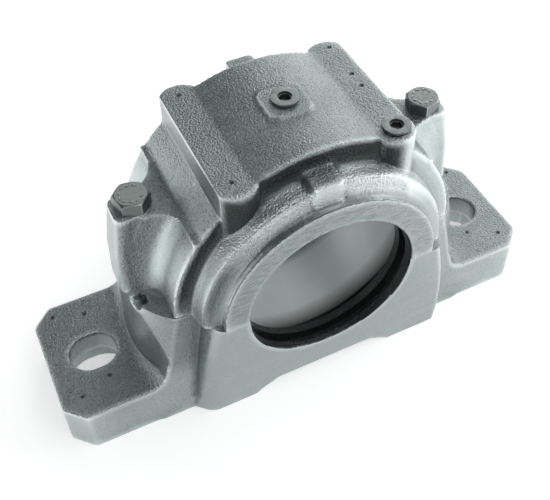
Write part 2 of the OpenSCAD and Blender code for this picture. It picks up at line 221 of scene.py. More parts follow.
def framed(piece: Shape, width: float, smallest: float = 9.0) -> None:
    """Draw a narrow frame inside each larger face, so that its edge can be marked.

    Args:
        piece: The piece.
        width: The frame's width in millimetres.
        smallest: The least area that gets a frame, in square millimetres.
    """
    choose(piece)
    bpy.ops.object.mode_set(mode="EDIT")
    bpy.ops.mesh.select_mode(type="FACE")
    bpy.ops.mesh.select_all(action="DESELECT")
    mesh = bmesh.from_edit_mesh(piece.data)
    for face in mesh.faces:
        face.select_set(face.calc_area() > smallest * MM * MM)
    bmesh.update_edit_mesh(piece.data)
    bpy.ops.mesh.inset(thickness=width * MM, use_individual=True)
    bpy.ops.object.mode_set(mode="OBJECT")


def mark_hollows(piece: Shape, softness: int, spread: float) -> None:
    """Store on a piece where it is hollow and where it stands proud, for the painted shade and painted highlights of
    its finish.

    Args:
        piece: The piece.
        softness: How many times the mark is softened.
        spread: The bend, in degrees, that counts as fully hollow or proud.
    """
    choose(piece)
    bpy.ops.geometry.color_attribute_add(name=HOLLOWS, domain="CORNER", data_type="FLOAT_COLOR", color=(1, 1, 1, 1))
    bpy.ops.paint.vertex_color_dirt(
        blur_strength=1.0, blur_iterations=softness, normalize=False,
        dirt_angle=math.radians(90.0 - spread), clean_angle=math.radians(90.0 + spread)
    )


def finish_piece(piece: Shape, material: bpy.types.Material, slot: str, stands_for: str) -> None:
    """Dress a piece, seat it on the body and let it stand for its solid.

    Args:
        piece: The finished piece.
        material: Its finish.
        slot: Not used.
        stands_for: The node that it replaces.
    """
    piece.data.materials.clear()
    piece.data.materials.append(material)
    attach(piece, BODY)
    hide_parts(stands_for)
    LOG.info("%s: %d faces, stands for %s", piece.name, len(piece.data.polygons), stands_for)


# ---- finishes --------------------------------------------------------------------------


class Recipe:
    """A material's node tree, built step by step."""

    def __init__(self, name: str) -> None:
        """Start an empty material with a surface shader.

        Args:
            name: The material's name.
        """
        self.material = bpy.data.materials.new(name)
        self.material.use_nodes = True
        self.nodes = self.material.node_tree.nodes
        self.links = self.material.node_tree.links
        self.nodes.clear()
        self.output = self.nodes.new("ShaderNodeOutputMaterial")
        self.shader = self.nodes.new("ShaderNodeBsdfPrincipled")
        self.links.new(self.shader.outputs["BSDF"], self.output.inputs["Surface"])
        here = self.nodes.new("ShaderNodeTexCoord")
        self.place, self.facing = here.outputs["Object"], here.outputs["Normal"]

    def noise(
        self, scale: float, detail: float = 2.0, rough: float = 0.5, stretch: Point = (1, 1, 1), turn: Point = (0, 0, 0)
    ) -> Socket:
        """Add a noise that follows the piece.

        Args:
            scale: Cells per metre.
            detail: How many finer layers it has.
            rough: How strong the finer layers are.
            stretch: How much denser it is along each axis.
            turn: How it is turned round each axis.

        Returns:
            The noise's value.
        """
        mapping = self.nodes.new("ShaderNodeMapping")
        mapping.inputs["Rotation"].default_value = turn
        mapping.inputs["Scale"].default_value = stretch
        self.links.new(self.place, mapping.inputs["Vector"])
        node = self.nodes.new("ShaderNodeTexNoise")
        node.inputs["Scale"].default_value = scale
        node.inputs["Detail"].default_value = detail
        node.inputs["Roughness"].default_value = rough
        self.links.new(mapping.outputs["Vector"], node.inputs["Vector"])
        return node.outputs["Fac"]

    def axes(self, vector: Socket) -> list[Socket]:
        """Split a vector.

        Args:
            vector: The vector.

        Returns:
            Its parts along x, y and z.
        """
        node = self.nodes.new("ShaderNodeSeparateXYZ")
        self.links.new(vector, node.inputs["Vector"])
        return [node.outputs[axis] for axis in "XYZ"]

    def length(self, vector: Socket) -> Socket:
        """Measure a vector.

        Args:
            vector: The vector.

        Returns:
            Its length.
        """
        node = self.nodes.new("ShaderNodeVectorMath")
        node.operation = "LENGTH"
        self.links.new(vector, node.inputs[0])
        return node.outputs["Value"]

    def span(self, value: Socket, low: float, high: float, to_low: float, to_high: float) -> Socket:
        """Map a value from one span to another, clamped.

        Args:
            value: The value.
            low: Where the first span starts.
            high: Where it ends.
            to_low: What its start becomes.
            to_high: What its end becomes.

        Returns:
            The mapped value.
        """
        node = self.nodes.new("ShaderNodeMapRange")
        for key, number in zip(("From Min", "From Max", "To Min", "To Max"), (low, high, to_low, to_high)):
            node.inputs[key].default_value = number
        self.links.new(value, node.inputs["Value"])
        return node.outputs["Result"]

    def math(self, kind: str, first: Socket, second: Socket | float) -> Socket:
        """Combine two values.

        Args:
            kind: The operation.
            first: The first value.
            second: The second value.

        Returns:
            The result.
        """
        node = self.nodes.new("ShaderNodeMath")
        node.operation = kind
        self.links.new(first, node.inputs[0])
        if isinstance(second, (int, float)):
            node.inputs[1].default_value = second
        else:
            self.links.new(second, node.inputs[1])
        return node.outputs["Value"]

    def absolute(self, value: Socket) -> Socket:
        """Drop a value's sign."""
        return self.math("ABSOLUTE", value, 0.0)

    def product(self, *factors: Socket) -> Socket:
        """Multiply values, one after the other.

        Args:
            factors: The values.

        Returns:
            Their product.
        """
        result = factors[0]
        for factor in factors[1:]:
            result = self.math("MULTIPLY", result, factor)
        return result

    def mix(self, factor: Socket, first: Colour, second: Colour) -> Socket:
        """Blend two colours by a value.

        Args:
            factor: The second colour's share.
            first: The first colour.
            second: The second colour.

        Returns:
            The blended colour.
        """
        node = self.nodes.new("ShaderNodeMix")
        node.data_type = "RGBA"
        for place, colour in ((6, first), (7, second)):
            if isinstance(colour, Socket):
                self.links.new(colour, node.inputs[place])
            else:
                node.inputs[place].default_value = (*colour, 1.0)
        self.links.new(factor, node.inputs["Factor"])
        return node.outputs[2]

    def hollows(self) -> Socket:
        """Read how hollow the piece is.

        Returns:
            The value: half on flats, less in grooves, more on edges.
        """
        node = self.nodes.new("ShaderNodeAttribute")
        node.attribute_name = HOLLOWS
        return node.outputs["Fac"]

    def bump(self, height: Socket, depth: float, below: Socket | None = None) -> Socket:
        """Turn a height into a relief.

        Args:
            height: The height, from 0 to 1.
            depth: The relief's depth in metres.
            below: A relief that this one lies on.

        Returns:
            The relief's normal.
        """
        node = self.nodes.new("ShaderNodeBump")
        node.inputs["Strength"].default_value = 1.0
        node.inputs["Distance"].default_value = depth
        self.links.new(height, node.inputs["Height"])
        if below is not None:
            self.links.new(below, node.inputs["Normal"])
        return node.outputs["Normal"]

    def feed(self, **sockets: Socket | float | Sequence[float]) -> None:
        """Set or link the surface shader's sockets.

        Args:
            sockets: Values by socket name, an underscore standing for a space.
        """
        for key, value in sockets.items():
            socket = self.shader.inputs[key.replace("_", " ")]
            if isinstance(value, Socket):
                self.links.new(value, socket)
            elif isinstance(value, (int, float)):
                socket.default_value = value
            else:
                socket.default_value = (*value, 1.0)


class Masks(NamedTuple):
    """Where each tone of the castings' paint lies, from 0 to 1."""

    # shaded and throat mark painted shade, web a painted reflection and collar a painted highlight.
    outer: Socket
    ring: Socket
    shaded: Socket
    throat: Socket
    level: Socket
    web: Socket
    collar: Socket


@dataclass(frozen=True)
class PaintZones:
    """Places of the castings' paint, as ramps: from, to, first value, last value. Lengths are in metres."""

    shaft_height: float = 0.07
    outer_reach: Ramp = (0.0435, 0.0455, 0.0, 1.0)
    outer_aside: Ramp = (0.072, 0.075, 1.0, 0.0)
    ring_reach: Ramp = (0.0485, 0.049, 0.0, 1.0)
    ring_height: Ramp = (0.0698, 0.0702, 0.0, 1.0)
    # Walls that face along the shaft, above the split and left of the corner boss, which get painted shade.
    shaded_lean: Ramp = (0.5, 0.78, 0.0, 1.0)
    shaded_height: Ramp = (0.066, 0.084, 0.35, 1.0)
    shaded_foot: Ramp = (0.03, 0.04, 0.0, 1.0)
    shaded_reach: Ramp = (0.02, 0.028, 0.5, 1.0)
    shaded_side: Ramp = (0.034, 0.039, 1.0, 0.0)
    # Webs beside the left bolt column and the flank right of the corner boss, lightened as a painted reflection.
    web_lean: Ramp = (0.6, 0.85, 1.0, 0.0)
    web_near: Ramp = (0.01, 0.013, 0.0, 1.0)
    web_far: Ramp = (0.033, 0.034, 1.0, 0.0)
    web_side: Ramp = (-0.062, -0.056, 1.0, 0.0)
    web_height: Ramp = (0.07, 0.073, 0.0, 1.0)
    beside_near: Ramp = (0.028, 0.03, 0.0, 1.0)
    beside_far: Ramp = (0.038, 0.039, 1.0, 0.0)
    beside_side: Ramp = (0.035, 0.04, 0.0, 1.0)
    beside_height: Ramp = (0.072, 0.076, 0.0, 1.0)
    level_lean: Ramp = (0.35, 0.8, 0.15, 1.0)
    # Collars' backs, lightened as a painted highlight.
    collar_near: Ramp = (0.0355, 0.0365, 0.0, 1.0)
    collar_far: Ramp = (0.0455, 0.047, 1.0, 0.0)
    collar_height: Ramp = (0.1, 0.118, 0.0, 0.75)
    collar_round: Ramp = (0.0625, 0.0632, 1.0, 0.0)
    # Steps inside the shaft openings, darkened as painted shade.
    throat_steps: tuple[Pair, ...] = ((0.0409, 0.0487), (0.0463, 0.0441), (0.0572, 0.0346))
    throat_edge: float = 0.0002

    def masks(self, recipe: Recipe) -> Masks:
        """Tell the paint's different places apart.

        Args:
            recipe: The material's node tree.

        Returns:
            The smooth outer faces, the cap's scored face rings, the rough walls that get
            painted shade, the throat inside the shaft openings that gets painted shade,
            the grained level faces, the webs that get a painted reflection and the
            collars' backs that get a painted highlight.
        """
        span, product = recipe.span, recipe.product
        x, y, z = recipe.axes(recipe.place)
        _, across, upward = recipe.axes(recipe.facing)
        reach, across = recipe.absolute(y), recipe.absolute(across)
        radius = self.radius(recipe, x, z)
        # Webs that get a painted reflection: beside the left bolt column and right of the corner boss.
        left_web = product(
            span(across, *self.web_lean), span(reach, *self.web_near), span(reach, *self.web_far),
            span(x, *self.web_side), span(z, *self.web_height),
        )
        right_web = product(
            span(reach, *self.beside_near), span(reach, *self.beside_far),
            span(x, *self.beside_side), span(z, *self.beside_height),
        )
        return Masks(
            outer=product(span(reach, *self.outer_reach), span(recipe.absolute(x), *self.outer_aside)),
            ring=product(span(reach, *self.ring_reach), span(z, *self.ring_height)),
            # Painted shade on the walls along the shaft.
            shaded=product(
                span(across, *self.shaded_lean), span(z, *self.shaded_height), span(z, *self.shaded_foot),
                span(reach, *self.shaded_reach), span(x, *self.shaded_side),
            ),
            throat=self.throat(recipe, radius, reach),
            level=span(upward, *self.level_lean),
            web=recipe.math("MAXIMUM", left_web, right_web),
            # Painted highlight on the collars' backs.
            collar=product(
                span(reach, *self.collar_near), span(reach, *self.collar_far),
                span(z, *self.collar_height), span(radius, *self.collar_round),
            ),
        )

    def radius(self, recipe: Recipe, x: Socket, z: Socket) -> Socket:
        """Measure how far a place lies from the shaft.

        Args:
            recipe: The material's node tree.
            x: The place along the foot.
            z: Its height.

        Returns:
            The distance.
        """
        centred = recipe.nodes.new("ShaderNodeCombineXYZ")
        recipe.links.new(x, centred.inputs["X"])
        recipe.links.new(recipe.math("SUBTRACT", z, self.shaft_height), centred.inputs["Z"])
        return recipe.length(centred.outputs["Vector"])

    def throat(self, recipe: Recipe, radius: Socket, reach: Socket) -> Socket:
        """Find the steps inside the shaft openings.

        Args:
            recipe: The material's node tree.
            radius: The distance from the shaft.
            reach: The distance from the middle, along the shaft.

        Returns:
            The mask.
        """
        throat = None
        for wide, deep in self.throat_steps:
            step = recipe.product(
                recipe.span(radius, wide, wide + self.throat_edge, 1.0, 0.0),
                recipe.span(reach, deep, deep + self.throat_edge, 1.0, 0.0),
            )
            throat = step if throat is None else recipe.math("MAXIMUM", throat, step)
        return throat


@dataclass(frozen=True)
class CastPaint:
    """Semi-gloss grey-green paint over a casting's sand skin, with painted shade and painted highlights."""

    name: str = "cast_paint"
    zones: PaintZones = field(default_factory=PaintZones)
    colour: Rgb = (0.31, 0.355, 0.35)
    dusty: Rgb = (0.37, 0.415, 0.41)
    # Dark colour of the grain and the scored rings, also used as painted shade in hollows and inside the shaft
    # openings.
    dark_grain_and_shade: Rgb = (0.07, 0.082, 0.08)
    # Painted shade, near black, for the walls that face along the shaft.
    painted_shade: Rgb = (0.022, 0.027, 0.026)
    # Painted highlight colour, for sharp edges and the collars' backs.
    edge: Rgb = (0.66, 0.71, 0.71)
    rubbed: Rgb = (0.32, 0.365, 0.36)
    # Painted reflection, for the webs.
    painted_reflection: Rgb = (0.37, 0.42, 0.418)
    metallic: float = 0.92
    gloss_low: float = 0.25
    gloss_high: float = 0.42
    cloud_scale: float = 55.0
    grain_scale: float = 1150.0
    swell_scale: float = 130.0
    patch_scale: float = 45.0
    mark_scale: float = 900.0
    mark_stretch: Point = (0.25, 1.0, 1.6)
    mark_slant: float = 38.0
    grain_depth: float = 0.0007
    swell_depth: float = 0.0002
    mark_depth: float = 0.0008
    shaded_share: float = 0.95
    dust: Ramp = (0.35, 0.65, 0.0, 1.0)
    grain_dark: Ramp = (0.4, 0.58, 0.22, 0.0)
    mark_dark: Ramp = (0.4, 0.55, 0.3, 0.0)
    # Painted shade in hollows and painted highlight on sharp edges, both read from the hollows mark.
    shade_in_grooves: Ramp = (0.28, 0.47, 1.0, 0.0)
    highlight_on_edges: Ramp = (0.55, 0.8, 0.0, 0.8)
    patch_grain: Ramp = (0.42, 0.62, 0.8, 1.0)
    shaded_grain: Ramp = (0.0, 0.6, 0.3, 1.5)
    outer_grain: Ramp = (0.0, 1.0, 1.0, 0.3)

    def build(self) -> bpy.types.Material:
        """Build the paint.

        Returns:
            The material.
        """
        recipe = Recipe(self.name)
        clouds = recipe.noise(self.cloud_scale, 3.0)
        grain = recipe.noise(self.grain_scale, 2.0, 0.5)
        swell = recipe.noise(self.swell_scale, 1.0)
        patches = recipe.span(recipe.noise(self.patch_scale, 2.0), *self.patch_grain)
        marks = recipe.noise(self.mark_scale, 3.0, 0.5, self.mark_stretch, (0.0, math.radians(self.mark_slant), 0.0))
        zones = self.zones.masks(recipe)
        hollow = recipe.hollows()
        tone = recipe.mix(recipe.span(clouds, *self.dust), self.colour, self.dusty)
        tone = recipe.mix(recipe.span(grain, *self.grain_dark), tone, self.dark_grain_and_shade)
        # Painted shade: the walls along the shaft are darkened nearly to black.
        tone = recipe.mix(recipe.math("MULTIPLY", zones.shaded, self.shaded_share), tone, self.painted_shade)
        tone = recipe.mix(zones.outer, tone, self.rubbed)
        tone = recipe.mix(recipe.product(zones.ring, recipe.span(marks, *self.mark_dark)), tone, self.dark_grain_and_shade)
        # Painted reflection: the webs are lightened.
        tone = recipe.mix(zones.web, tone, self.painted_reflection)
        # Painted highlight: the collars' backs take the highlight colour.
        tone = recipe.mix(zones.collar, tone, self.edge)
        # Painted shade: darker where the surface is hollow.
        tone = recipe.mix(recipe.span(hollow, *self.shade_in_grooves), tone, self.dark_grain_and_shade)
        # Painted highlight: lighter along sharp edges.
        tone = recipe.mix(recipe.span(hollow, *self.highlight_on_edges), tone, self.edge)
        # Painted shade: the steps inside the shaft openings are darkened.
        tone = recipe.mix(zones.throat, tone, self.dark_grain_and_shade)
        rough = recipe.math("MAXIMUM", zones.level, recipe.span(zones.shaded, *self.shaded_grain))
        patches = recipe.product(patches, rough, recipe.span(zones.outer, *self.outer_grain))
        relief = recipe.bump(swell, self.swell_depth)
        relief = recipe.bump(recipe.product(grain, patches), self.grain_depth, relief)
        relief = recipe.bump(recipe.product(marks, zones.ring), self.mark_depth, relief)
        recipe.feed(
            Base_Color=tone,
            Metallic=self.metallic,
            Roughness=recipe.span(grain, 0.3, 0.7, self.gloss_low, self.gloss_high),
            Normal=relief,
        )
        return recipe.material


@dataclass(frozen=True)
class TurnedIron:
    """Pale preserving coat over the turned walls inside, darkened as painted shade towards the openings."""

    name: str = "turned_iron"
    colour: Rgb = (0.9, 0.96, 0.95)
    deep: Rgb = (0.84, 0.9, 0.89)
    # Painted shade, for the turned walls near the openings.
    painted_opening_shade: Rgb = (0.06, 0.066, 0.064)
    opening_shade_reach: Ramp = (0.014, 0.024, 0.0, 0.9)

    def build(self) -> bpy.types.Material:
        """Build the coat.

        Returns:
            The material.
        """
        recipe = Recipe(self.name)
        rings = recipe.noise(60.0, 3.0, 0.6, (1, 24, 1))
        cloud = recipe.noise(40.0, 2.0)
        reach = recipe.absolute(recipe.axes(recipe.place)[1])
        tone = recipe.mix(recipe.span(cloud, 0.35, 0.65, 0.0, 1.0), self.colour, self.deep)
        recipe.feed(
            # Painted shade: darker towards the openings.
            Base_Color=recipe.mix(recipe.span(reach, *self.opening_shade_reach), tone, self.painted_opening_shade),
            Metallic=0.1,
            Roughness=recipe.span(rings, 0.3, 0.7, 0.3, 0.42),
            Normal=recipe.bump(rings, 0.00004),
        )
        return recipe.material


@dataclass(frozen=True)
class PaintedSteel:
    """Thin paint over turned or forged steel, with fine rings and scuffs, painted shade on its sides and painted
    highlights on its edges.
    """

    name: str = "painted_steel"
    colour: Rgb = (0.23, 0.26, 0.253)
    worn: Rgb = (0.32, 0.35, 0.342)
    # Painted shade, for the upright sides.
    flank: Rgb = (0.06, 0.068, 0.066)
    # Painted highlight, for sharp edges.
    edge: Rgb = (0.62, 0.66, 0.65)
    metallic: float = 0.85
    roughness: float = 0.26
    side_shade_lean: Ramp = (0.3, 0.7, 0.7, 0.0)
    highlight_on_edges: Ramp = (0.53, 0.75, 0.0, 1.0)

    def build(self) -> bpy.types.Material:
        """Build the finish.

        Returns:
            The material.
        """
        recipe = Recipe(self.name)
        scuffs = recipe.noise(420.0, 3.0, 0.6)
        fine = recipe.noise(2600.0, 2.0, 0.6)
        tone = recipe.mix(recipe.span(scuffs, 0.4, 0.62, 0.0, 1.0), self.colour, self.worn)
        upward = recipe.axes(recipe.facing)[2]
        # Painted shade: the upright sides are darkened.
        tone = recipe.mix(recipe.span(upward, *self.side_shade_lean), tone, self.flank)
        recipe.feed(
            # Painted highlight: lighter along sharp edges.
            Base_Color=recipe.mix(recipe.span(recipe.hollows(), *self.highlight_on_edges), tone, self.edge),
            Metallic=self.metallic,
            Roughness=recipe.span(scuffs, 0.3, 0.7, self.roughness, self.roughness + 0.16),
            Normal=recipe.bump(fine, 0.00003, recipe.bump(scuffs, 0.00012)),
        )
        return recipe.material


@dataclass(frozen=True)
class SealRubber:
    """Dark matt rubber of the seal rings."""

    name: str = "seal_rubber"
    colour: Rgb = (0.012, 0.013, 0.014)
    dusty: Rgb = (0.03, 0.032, 0.033)

    def build(self) -> bpy.types.Material:
        """Build the rubber.

        Returns:
            The material.
        """
        recipe = Recipe(self.name)
        dust = recipe.noise(900.0, 3.0)
        recipe.feed(
            Base_Color=recipe.mix(recipe.span(dust, 0.4, 0.65, 0.0, 1.0), self.colour, self.dusty),
            Roughness=recipe.span(dust, 0.3, 0.7, 0.55, 0.8),
            Normal=recipe.bump(dust, 0.00003),
        )
        return recipe.material


@dataclass(frozen=True)
class GroundSteel:
    """Bright ground steel of the dowel pins."""

    name: str = "ground_steel"
    colour: Rgb = (0.5, 0.51, 0.52)
    dull: Rgb = (0.38, 0.39, 0.4)

    def build(self) -> bpy.types.Material:
        """Build the steel.

        Returns:
            The material.
        """
        recipe = Recipe(self.name)
        rings = recipe.noise(300.0, 3.0, 0.6, (1, 1, 14))
        recipe.feed(
            Base_Color=recipe.mix(recipe.span(rings, 0.35, 0.65, 0.0, 1.0), self.colour, self.dull),
            Metallic=1.0,
            Roughness=recipe.span(rings, 0.3, 0.7, 0.22, 0.4),
            Normal=recipe.bump(rings, 0.00002),
        )
        return recipe.material


# ---- castings --------------------------------------------------------------------------


@dataclass
class BearingSpace:
    """Turned hollow round the shaft, the same in both castings, in millimetres."""

    shaft_height: float = 70.0
    width: float = 98.8
    opening_radius: float = 40.6
    seat_radius: float = 55.0
    seat_width: float = 48.0
    grease_radius: float = 57.0
    inner_width: float = 68.8
    groove_radius: float = 46.0
    groove_width: float = 5.5
    groove_place: float = 41.0
    spare: float = 0.6
    groove_core: Pair = (6.0, 2.4)

    def bar(self, radius: float, length: float, y: float = 0.0) -> Shape:
        """Make one round step of the hollow."""
        return round_bar("step", radius, length, (0.0, y, self.shaft_height), Along.SHAFT, 160)

    def fillers(self) -> list[Shape]:
        """Make the bars that close the hollow before the casting is rounded.

        Returns:
            The bars.
        """
        longer, shift = self.groove_core
        bars = [self.bar(self.grease_radius + self.spare, self.inner_width + self.spare)]
        for sign in (-1, 1):
            place = sign * (self.groove_place - shift)
            bars.append(self.bar(self.groove_radius + self.spare, self.groove_width + longer, place))
        return bars

    def machined(self, spot: Vector) -> bool:
        """Tell whether a spot lies on the turned walls inside the housing.

        Args:
            spot: The spot, in metres.

        Returns:
            Whether it does.
        """
        radius = math.hypot(spot.x, spot.z - self.shaft_height * MM)
        inside = abs(spot.y) < (self.seat_width / 2 + self.spare) * MM
        return inside and radius < (self.grease_radius + 0.1) * MM

    def cutters(self) -> list[Shape]:
        """Make the steps that are turned out of both castings.

        Returns:
            The steps.
        """
        side = (self.inner_width - self.seat_width) / 2
        middle = (self.inner_width + self.seat_width) / 4
        steps = [self.bar(self.opening_radius, self.width + 8.0), self.bar(self.seat_radius, self.seat_width + 1.0)]
        for sign in (-1, 1):
            steps.append(self.bar(self.grease_radius, side, sign * middle))
            steps.append(self.bar(self.groove_radius, self.groove_width, sign * self.groove_place))
        return steps


@dataclass
class Casting:
    """A casting: its solid, rounded as cast iron is, and machined again where it was machined."""

    node: str = ""
    space: BearingSpace = field(default_factory=BearingSpace)
    voxel: float = 0.95
    passes: int = 4
    faces: int = 150_000
    dimples: list[Point] = field(default_factory=list)
    dimple_radius: float = 1.9
    dimple_lift: float = 0.72
    clear: Pair = (140.0, 60.0)

    def slab(self, name: str, low: float, high: float) -> Shape:
        """Make a block between two heights that is wider than the casting."""
        x, y = self.clear
        return block(name, (-x, -y, low), (x, y, high))

    def blank(self, flats: Sequence[tuple[float, int, float]]) -> Shape:
        """Copy the solid and let its machined flats stand proud, to be cut back later.

        Args:
            flats: Height of each machined flat, whether it faces up (1) or down (-1), and how
                far it moves out, in millimetres.

        Returns:
            The blank.
        """
        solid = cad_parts[self.node]
        piece = solid.copy()
        piece.data = solid.data.copy()
        piece.parent = None
        for key in list(piece.keys()):
            del piece[key]
        bpy.context.scene.collection.objects.link(piece)
        choose(piece)
        named(self.node + "_casting")
        bpy.ops.object.mode_set(mode="EDIT")
        bpy.ops.mesh.select_all(action="SELECT")
        bpy.ops.mesh.remove_doubles(threshold=MERGE_DISTANCE)
        bpy.ops.mesh.select_mode(type="FACE")
        for height, side, grow in flats:
            bpy.ops.mesh.select_all(action="DESELECT")
            mesh = bmesh.from_edit_mesh(piece.data)
            for face in mesh.faces:
                level = abs(face.calc_center_median().z - height * MM) < LEVEL_TOLERANCE
                face.select_set(level and face.normal.z * side > 0.99)
            bmesh.update_edit_mesh(piece.data)
            bpy.ops.mesh.extrude_region_move(TRANSFORM_OT_translate={"value": (0.0, 0.0, side * grow * MM)})
        bpy.ops.object.mode_set(mode="OBJECT")
        return piece

    def rounded(self, piece: Shape, fillers: Sequence[Shape]) -> Shape:
        """Fuse the blank with its fillers and round all its edges and corners.

        Args:
            piece: The blank.
            fillers: Closed pieces that fill what is machined out later.

        Returns:
            The rounded blank.
        """
        piece = join([*fillers, piece], self.node + "_casting")
        apply_modifier(piece, "REMESH", mode="VOXEL", voxel_size=self.voxel * MM, adaptivity=0.0)
        apply_modifier(piece, "SMOOTH", factor=0.5, iterations=self.passes)
        triangles = len(piece.data.polygons) * 2
        if triangles > self.faces:
            apply_modifier(piece, "DECIMATE", ratio=self.faces / triangles)
        return piece

    def dimpled(self, piece: Shape) -> None:
        """Sink the small round marks that the pattern leaves.

        Args:
            piece: The casting.
        """
        marks = []
        for x, y, z in self.dimples:
            choose()
            bpy.ops.mesh.primitive_ico_sphere_add(
                subdivisions=3, radius=self.dimple_radius * MM,
                location=(x * MM, y * MM, (z + self.dimple_radius * self.dimple_lift) * MM)
            )
            marks.append(settle(named("dimple")))
        carve(piece, [join(marks, "dimples")])

    def dress(self, piece: Shape, paint: bpy.types.Material, bare: bpy.types.Material) -> None:
        """Paint the casting and leave its turned inside bare.

        Args:
            piece: The finished casting.
            paint: Finish of everything that is seen from outside.
            bare: Finish of the turned walls inside.
        """
        mark_hollows(piece, 5, 12.0)
        finish_piece(piece, paint, self.node, self.node)
        piece.data.materials.append(bare)
        for face in piece.data.polygons:
            if self.space.machined(face.center):
                face.material_index = 1


@dataclass
class HousingBase(Casting):
    """The lower casting, with its foot, shoulders and bearing block."""

    node: str = "housing_base"
    dimples: list[Point] = field(default_factory=lambda: [
        (-117.8, 28.0, 25.5), (-102.7, 23.2, 25.5), (-101.9, -16.7, 25.5), (-117.0, -22.4, 25.5),
        (117.8, 28.0, 25.5), (102.7, 23.2, 25.5), (101.9, -16.7, 25.5), (117.0, -24.4, 25.5),
    ])
    rim: float = 1.6
    sole: float = 5.0
    slot_x: float = 105.0
    slot_size: Pair = (23.0, 20.0)
    relief_wall: float = 4.5
    relief_roof: float = 13.0
    relief_below: float = 2.0

    def reliefs(self) -> list[Shape]:
        """Make the cores that widen both foot slots from below.

        Returns:
            The cores.
        """
        length, width = self.slot_size
        radius, reach = width / 2 + self.relief_wall, (length - width) / 2
        tall, middle = self.relief_roof + self.relief_below, (self.relief_roof - self.relief_below) / 2
        cores = []
        for side in (-1, 1):
            core, other = [
                round_bar("core", radius, tall, (side * self.slot_x + end, 0.0, middle), Along.UP, 64)
                for end in (-reach, reach)
            ]
            combine(core, other, "UNION")
            cores.append(core)
        return cores

    def build(self) -> Shape:
        """Round the base and machine its split, its underside and its hollow.

        Returns:
            The finished casting.
        """
        top = self.space.shaft_height
        piece = self.rounded(self.blank([(top, 1, self.rim), (0.0, -1, self.sole)]), self.space.fillers())
        flats = [self.slab("above", top, 2 * top), self.slab("below", -4 * self.sole, 0.0)]
        carve(piece, [*flats, *self.space.cutters(), *self.reliefs()])
        self.dimpled(piece)
        smooth_shaded(piece)
        return piece


@dataclass
class HousingCap(Casting):
    """The upper casting, with its barrel, rails, pads and bolt columns."""

    node: str = "housing_cap"
    gap_height: float = 1.3
    gap_depth: float = 5.0
    gap_span: Pair = (57.5, 71.5)
    flank: float = 34.0
    dimples: list[Point] = field(default_factory=lambda: [
        (-36.9, 31.0, 137.1), (-37.5, -28.9, 137.1), (39.0, 32.9, 137.1), (38.6, 10.7, 137.1), (38.5, 1.5, 137.1),
    ])
    rim: float = 2.4
    barrel_radius: float = 70.2
    fillet: float = 13.0
    fillet_trim: float = 1.0
    fillet_span: Pair = (56.0, 99.0)
    fillet_room: Point = (60.0, -30.0, 170.0)
    fillet_foot: float = 5.0
    column_front: float = 9.0
    column_top: float = 113.2

    def fillets(self) -> list[Shape]:
        """Make the round fillings between the bolt columns and the barrel.

        Returns:
            The fillings.
        """
        z = self.space.shaft_height
        reach = self.fillet - self.fillet_trim
        inner, outer = self.fillet_span
        y, low, high = self.fillet_room
        rings = []
        for side in (-1, 1):
            place = side * (self.column_front + reach / 2 - self.fillet_trim)
            ring = self.space.bar(self.barrel_radius + reach, reach + 2 * self.fillet_trim, place)
            choose()
            bpy.ops.mesh.primitive_torus_add(
                major_radius=(self.barrel_radius + self.fillet) * MM, minor_radius=self.fillet * MM,
                major_segments=160, minor_segments=48, rotation=Along.SHAFT.value,
                location=(0.0, side * (self.column_front + self.fillet) * MM, z * MM)
            )
            carve(ring, [
                settle(named("round")),
                block("over", (-outer, -y, self.column_top), (outer, y, high)),
                block("under", (-outer, -y, low), (outer, y, z - self.fillet_foot)),
                block("between", (-inner, -y, low), (inner, y, high)),
            ])
            rings.append(ring)
        return rings

    def gaps(self) -> list[Shape]:
        """Make the cutters for the open joint at the four corners of the split.

        Returns:
            The cutters.
        """
        low, high = self.gap_span
        z = self.space.shaft_height
        cutters = []
        for x in (-1, 1):
            for y in (-1, 1):
                xs = sorted((x * low, x * high))
                ys = sorted((y * (self.flank - self.gap_depth), y * (self.flank + 1)))
                cutters.append(block("gap", (xs[0], ys[0], z - 1), (xs[1], ys[1], z + self.gap_height)))
        return cutters

    def build(self) -> Shape:
        """Round the cap and machine its split and its hollow.

        Returns:
            The finished casting.
        """
        bottom = self.space.shaft_height
        piece = self.rounded(self.blank([(bottom, -1, self.rim)]), [*self.space.fillers(), *self.fillets()])
        carve(piece, [self.slab("below", 0.0, bottom), *self.space.cutters(), *self.gaps()])
        self.dimpled(piece)
        smooth_shaded(piece)
        return piece


# ---- fasteners and fittings ------------------------------------------------------------


